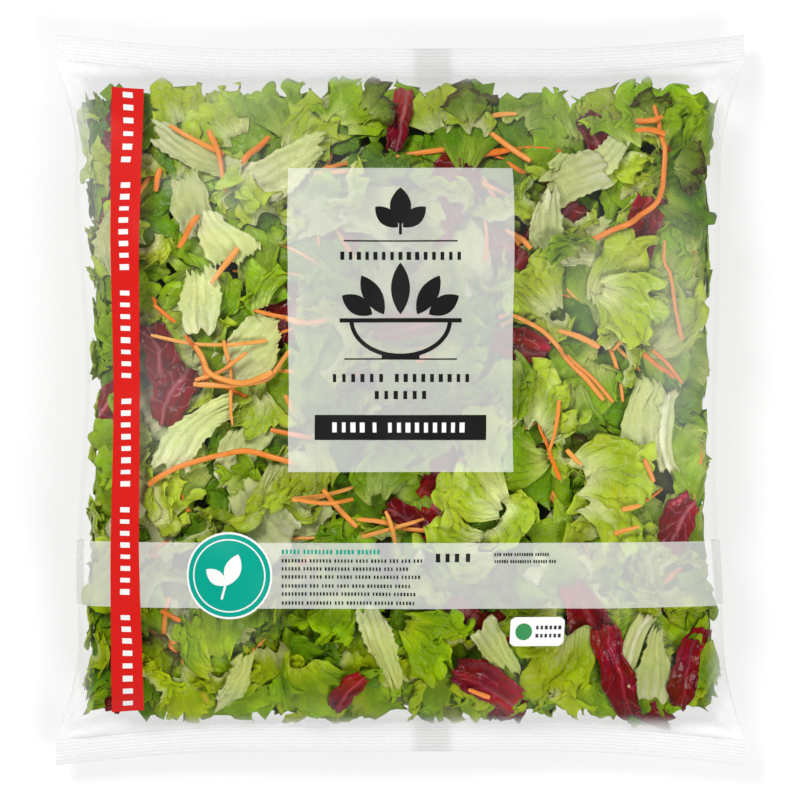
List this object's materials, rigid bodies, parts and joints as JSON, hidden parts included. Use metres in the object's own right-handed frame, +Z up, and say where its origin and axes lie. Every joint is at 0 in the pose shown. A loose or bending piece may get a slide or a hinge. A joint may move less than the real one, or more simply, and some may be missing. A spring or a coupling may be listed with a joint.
{
  "type": "bag of salad leaves",
  "caption": "Sealed clear pillow bag of mixed salad leaves with shredded carrot, lying flat, with printed panels on its front and a ribbed seal at each end.",
  "frame": {"origin": "on the surface that the bag lies on, under the middle of the bag's outline", "axes": "+X to the right of the printed side, +Y to its top seal, +Z up out of the printed side"},
  "size_m": [0.3, 0.3188, 0.0685],
  "materials": {
    "filled_bag": "salad leaves seen through clear film",
    "clear_film": "clear polypropylene film, glossy",
    "lettuce": "fresh waxy leaf",
    "iceberg": "fresh waxy leaf, pale",
    "radicchio": "fresh leaf, satin",
    "carrot": "moist cut root",
    "red_ink": "printed under gloss film",
    "veil_ink": "half-covering white print",
    "white_ink": "printed under gloss film",
    "black_ink": "printed under gloss film",
    "teal_ink": "printed under gloss film",
    "green_ink": "printed under gloss film"
  },
  "bodies": {
    "root": {"salad_bag": "filled_bag"}
  },
  "joints": []
}
